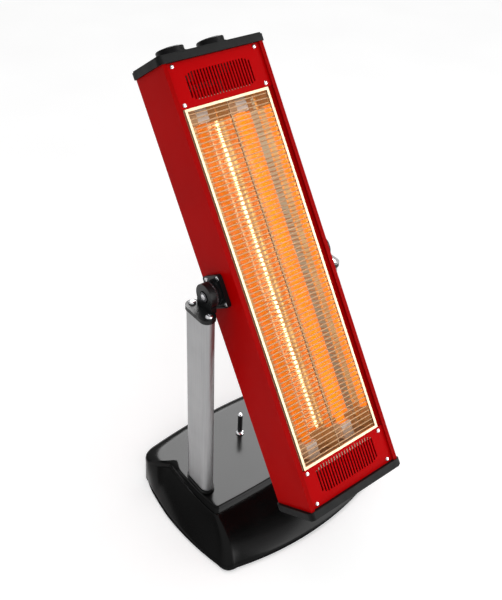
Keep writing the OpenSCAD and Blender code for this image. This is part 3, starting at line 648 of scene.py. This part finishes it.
class HEATER_OT_lamps(bpy.types.Operator):
    """Winds the heating coils and lights the quartz tubes"""
    bl_idname = "heater.lamps"
    bl_label = "Lamps"

    def execute(self, context):
        glow = tuple(context.scene.heater_colours.glow)
        sizes = context.scene.heater_sizes
        dress("quartz_tubes", hot_quartz(glow))
        dress("lamp_holders", glazed((0.62, 0.47, 0.36)))
        hot = hot_wire(glow)
        dress("heating_coils", hot)
        half, low, high = head_extent("heating_coils")
        radius = sizes.coil_width / 2
        path = coil_path(low, high, radius - sizes.coil_wire / 2, sizes.coil_pitch,
                         sizes.coil_lead)
        points, faces = [], []
        for x in (radius - half, half - radius):
            some, joins = loft(wire_rings(path, x, sizes.lamp_back, sizes.coil_wire))
            faces += [tuple(len(points) + k for k in face) for face in joins]
            points += some
        coils = make_piece("wound_coils", points, faces, hot, "head", sharp=70.0)
        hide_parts("heating_coils")
        return {"FINISHED"}


class HEATER_OT_electrics(bpy.types.Operator):
    """Finishes the parts inside the head's two bays"""
    bl_idname = "heater.electrics"
    bl_label = "Electrical parts"

    def execute(self, context):
        case = moulded("switch_case", (0.05, 0.035, 0.03), 0.5, 900.0)
        for node in ("power_switch", "thermostat"):
            dress(node, case)
        dress("terminal_block", moulded("terminal_case", (0.10, 0.07, 0.05), 0.5, 800.0))
        dark = moulded("dark_nylon", (0.018, 0.018, 0.020), 0.42, 1000.0)
        for node in ("tilt_cutout", "cable_gland", "gland_nut"):
            dress(node, dark)
        dress("wiring_loom", braided((0.06, 0.04, 0.03)))
        return {"FINISHED"}


class HEATER_OT_pivots(bpy.types.Operator):
    """Finishes the pivot plates, the yokes and the toothed rings"""
    bl_idname = "heater.pivots"
    bl_label = "Pivots"

    def execute(self, context):
        casting = cast("casting_black", (0.0045, 0.005, 0.0055), 0.34, 0.03 * MM)
        for node in ("pivot_plate_left", "pivot_plate_right", "yoke_left", "yoke_right"):
            dress(node, casting)
        dark = plated("blackened_steel", (0.12, 0.12, 0.13), 0.35)
        for node in ("ratchet_rings", "pivot_nuts"):
            dress(node, dark)
        return {"FINISHED"}


class HEATER_OT_posts(bpy.types.Operator):
    """Anodises the two posts and fits their collars"""
    bl_idname = "heater.posts"
    bl_label = "Posts"

    def execute(self, context):
        drawn = brushed("post_anodised", context.scene.heater_colours.post, 0.40,
                        (1.0, 1.0, 0.02), metallic=0.85)
        dress("post_left", drawn)
        dress("post_right", drawn)
        dress("post_collars", moulded("collar_black", (0.008, 0.008, 0.008), 0.40, 1200.0))
        return {"FINISHED"}


class HEATER_OT_base(bpy.types.Operator):
    """Forms the polished base shell and finishes what is under it"""
    bl_idname = "heater.base"
    bl_label = "Base"

    def execute(self, context):
        edge = context.scene.heater_sizes.edge_round / MM
        points, faces = loft(base_rings(edge))
        cover = make_piece("base_cover", points, faces,
                           piano_black(context.scene.heater_colours.base),
                           "stand", sharp=50.0)
        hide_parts("base_shell")
        dress("base_shell", cover.data.materials[0])
        dress("base_plate", cast("plate_paint", (0.035, 0.036, 0.038), 0.5, 0.04 * MM))
        dress("ballast", cast("ballast_iron", (0.05, 0.05, 0.052), 0.7, 0.12 * MM))
        dress("rubber_feet", rubber())
        return {"FINISHED"}


class HEATER_OT_fasteners(bpy.types.Operator):
    """Plates the screws, bolts, shafts and the stop peg"""
    bl_idname = "heater.fasteners"
    bl_label = "Screws and peg"

    def execute(self, context):
        zinc = plated("zinc_bright", (0.82, 0.82, 0.84), 0.22)
        for node in ("cap_screws", "panel_screws", "plate_screws", "yoke_screws",
                     "post_foot_screws", "base_screws", "pivot_bolts", "switch_nuts",
                     "power_shaft", "thermostat_shaft", "stop_peg_nut"):
            dress(node, zinc)
        dress("stop_peg", plated("peg_chrome", (0.88, 0.89, 0.91), 0.08))
        return {"FINISHED"}


STEPS = (HEATER_OT_stage, HEATER_OT_casing, HEATER_OT_caps, HEATER_OT_guard,
         HEATER_OT_reflector, HEATER_OT_lamps, HEATER_OT_electrics, HEATER_OT_pivots,
         HEATER_OT_posts, HEATER_OT_base, HEATER_OT_fasteners)


class HEATER_PT_panel(bpy.types.Panel):
    """Lists the heater's sizes, colours and steps"""
    bl_idname = "HEATER_PT_panel"
    bl_label = "Patio Heater"
    bl_space_type = "VIEW_3D"
    bl_region_type = "UI"
    bl_category = "Heater"

    def draw(self, context):
        layout = self.layout
        for group in (context.scene.heater_sizes, context.scene.heater_colours):
            for name in group.bl_rna.properties.keys():
                if name not in ("rna_type", "name"):
                    layout.prop(group, name)
        for step in STEPS:
            layout.operator(step.bl_idname)


CLASSES = (HeaterSizes, HeaterColours, *STEPS, HEATER_PT_panel)


def register():
    for cls in CLASSES:
        bpy.utils.register_class(cls)
    bpy.types.Scene.heater_sizes = PointerProperty(type=HeaterSizes)
    bpy.types.Scene.heater_colours = PointerProperty(type=HeaterColours)


def unregister():
    del bpy.types.Scene.heater_colours
    del bpy.types.Scene.heater_sizes
    for cls in reversed(CLASSES):
        bpy.utils.unregister_class(cls)


def main():
    register()
    for step in STEPS:
        group, name = step.bl_idname.split(".")
        getattr(getattr(bpy.ops, group), name)()


if __name__ == "__main__":
    main()
